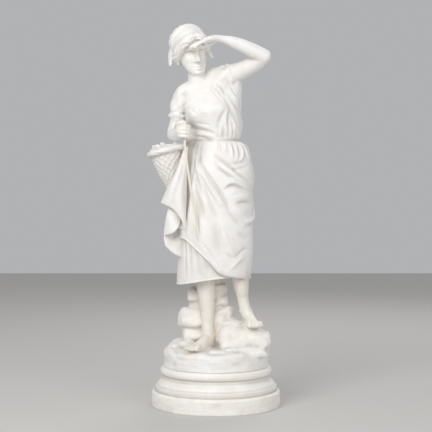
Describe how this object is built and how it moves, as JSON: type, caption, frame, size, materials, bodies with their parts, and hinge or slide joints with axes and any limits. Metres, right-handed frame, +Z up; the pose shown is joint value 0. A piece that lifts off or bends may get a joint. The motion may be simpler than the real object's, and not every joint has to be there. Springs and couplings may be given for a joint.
{
  "type": "marble statue",
  "caption": "Standing barefoot young woman in marble, shading her eyes, with a basket and a staff, on a round moulded plinth",
  "frame": {"origin": "centre of the flat underside of the plinth", "axes": "+Z up through the plinth's centre, the figure faces -Y, +X is towards the figure's left hand side"},
  "size_m": [0.3486, 0.336, 0.9961],
  "materials": {
    "figure": "white marble, carved and softly honed",
    "plinth": "white marble, turned and honed, slightly worn"
  },
  "bodies": {
    "root": {"figure": "figure", "plinth": "plinth"}
  },
  "joints": []
}
